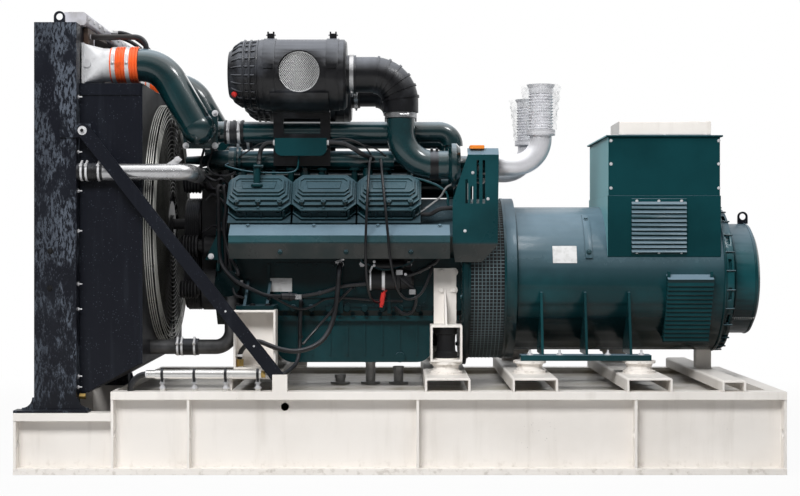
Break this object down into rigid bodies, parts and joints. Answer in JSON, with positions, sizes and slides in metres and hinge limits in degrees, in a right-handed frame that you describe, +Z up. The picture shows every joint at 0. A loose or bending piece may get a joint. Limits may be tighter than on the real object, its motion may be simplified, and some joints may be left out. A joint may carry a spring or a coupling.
{
  "type": "diesel generating set",
  "caption": "Open diesel generating set on a stepped steel base frame with an integral tank: radiator and guarded fan, vee engine with turbochargers, and an alternator.",
  "frame": {"origin": "on the floor, at the middle of the base frame", "axes": "+X from the radiator end to the alternator end, -Y towards the service side, +Z up"},
  "size_m": [4, 1.6, 2.415],
  "materials": {
    "frame_paint": "satin",
    "tank_plate": "gloss",
    "brass_fittings": "satin",
    "rubber": "matte",
    "cable": "satin",
    "radiator_paint": "satin",
    "core": "matte",
    "header_paint": "satin",
    "guard_wire": "satin",
    "fan_plastic": "satin",
    "drive_iron": "satin",
    "duct_casting": "cast",
    "silicone": "satin",
    "engine_paint": "semi-gloss",
    "bright_steel": "bright",
    "turbo_iron": "rough",
    "exhaust_steel": "satin",
    "cleaner_black": "satin"
  },
  "bodies": {
    "root": {"near_side_rail": "frame_paint", "far_side_rail": "frame_paint", "cross_members": "frame_paint", "fuel_tank": "frame_paint", "tank_roof": "tank_plate", "tank_fittings": "brass_fittings", "cross_channels": "frame_paint", "rubber_mounts": "rubber", "engine_brackets": "frame_paint", "near_radiator_post": "radiator_paint", "far_radiator_post": "radiator_paint", "radiator_core": "core", "radiator_tanks": "radiator_paint", "header_tank": "header_paint", "lifting_eyes": "radiator_paint", "radiator_braces": "radiator_paint", "fan_shroud": "radiator_paint", "shroud_face": "radiator_paint", "guard_drum": "guard_wire", "guard_face": "guard_wire", "fan_drive": "drive_iron", "fan_belts": "rubber", "charge_air_ducts": "duct_casting", "charge_air_hoses": "silicone", "charge_air_elbows": "engine_paint", "charge_air_pipes": "engine_paint", "coolant_hoses": "rubber", "coolant_pipes": "bright_steel", "crankcase": "engine_paint", "oil_sump": "engine_paint", "front_cover": "engine_paint", "cylinder_heads": "engine_paint", "rocker_covers": "engine_paint", "coolant_manifold": "engine_paint", "heat_shields": "engine_paint", "turbochargers": "turbo_iron", "exhaust_elbows": "exhaust_steel", "exhaust_bellows": "exhaust_steel", "exhaust_outlets": "exhaust_steel", "air_cleaners": "cleaner_black", "intake_hoses": "rubber", "intake_elbows": "engine_paint", "cleaner_brackets": "cleaner_black", "junction_box": "engine_paint", "flywheel_housing": "engine_paint", "coupling_guard": "engine_paint", "alternator_frame": "engine_paint", "alternator_feet": "engine_paint", "alternator_end_bell": "engine_paint", "terminal_box": "engine_paint", "terminal_box_cover": "engine_paint", "terminal_top_box": "frame_paint", "louvre_panels": "engine_paint", "drain_tube": "bright_steel", "oil_drain_hose": "rubber", "front_sensor_lead": "cable", "rear_sensor_lead": "cable"},
    "fan": {"fan": "fan_plastic"}
  },
  "joints": [
    {"name": "fan_spin", "type": "hinge", "parent": "root", "child": "fan", "pos_m": [-1.362, 0, 1.31], "axis": [1, 0, 0], "continuous": true}
  ]
}
